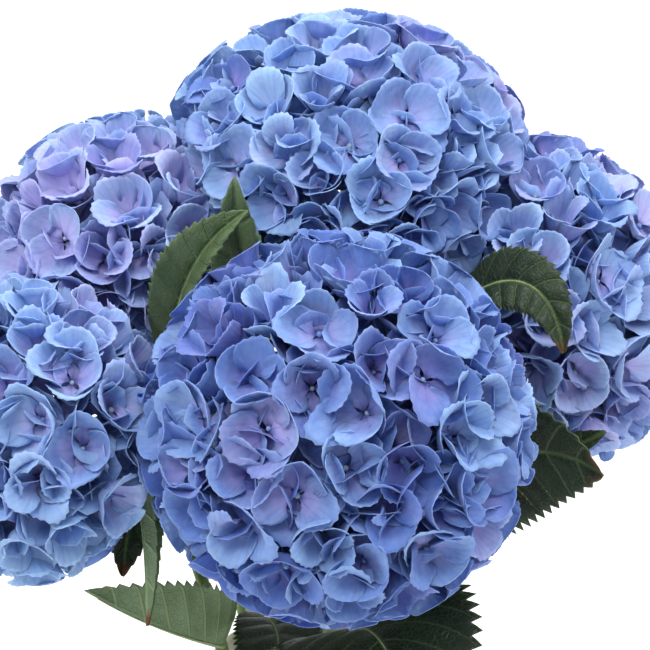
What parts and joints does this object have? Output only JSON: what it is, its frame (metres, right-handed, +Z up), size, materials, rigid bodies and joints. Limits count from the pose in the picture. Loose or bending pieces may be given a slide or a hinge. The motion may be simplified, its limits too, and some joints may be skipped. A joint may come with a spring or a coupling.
{
  "type": "hydrangeas in a vase",
  "caption": "Blue mophead hydrangeas on branching green stems with toothed leaves, standing in a plain white glazed vase with a drawn-in neck",
  "frame": {"origin": "the middle of the flat foot that the vase stands on", "axes": "+Z up out of the vase's mouth; the front of the arrangement, where the bloom that is seen face on looks out, faces -Y; +X is to the right seen from the front"},
  "size_m": [0.4391, 0.3582, 0.5895],
  "materials": {
    "white_glaze": "gloss",
    "blue_petals": "matte",
    "green_stem": "satin",
    "green_leaf": "satin"
  },
  "bodies": {
    "root": {"vase": "white_glaze", "bloom_front": "blue_petals", "bloom_top": "blue_petals", "bloom_left_upper": "blue_petals", "bloom_left_lower": "blue_petals", "bloom_right": "blue_petals", "stem_front": "green_stem", "stem_top": "green_stem", "stem_left_upper": "green_stem", "stem_left_lower": "green_stem", "stem_right": "green_stem", "leaf_groove_right": "green_leaf", "leaf_groove_left": "green_leaf", "leaf_right_over": "green_leaf", "leaf_right_low": "green_leaf", "leaf_right_behind": "green_leaf", "leaf_bottom_front": "green_leaf", "leaf_bottom_left": "green_leaf", "leaf_left_hanging": "green_leaf", "leaf_left_dark": "green_leaf", "leaf_left_under": "green_leaf", "leaf_bottom_middle": "green_leaf", "leaf_back_right": "green_leaf", "leaf_back_left": "green_leaf", "leaf_back_low": "green_leaf", "leaf_right_back": "green_leaf"}
  },
  "joints": []
}
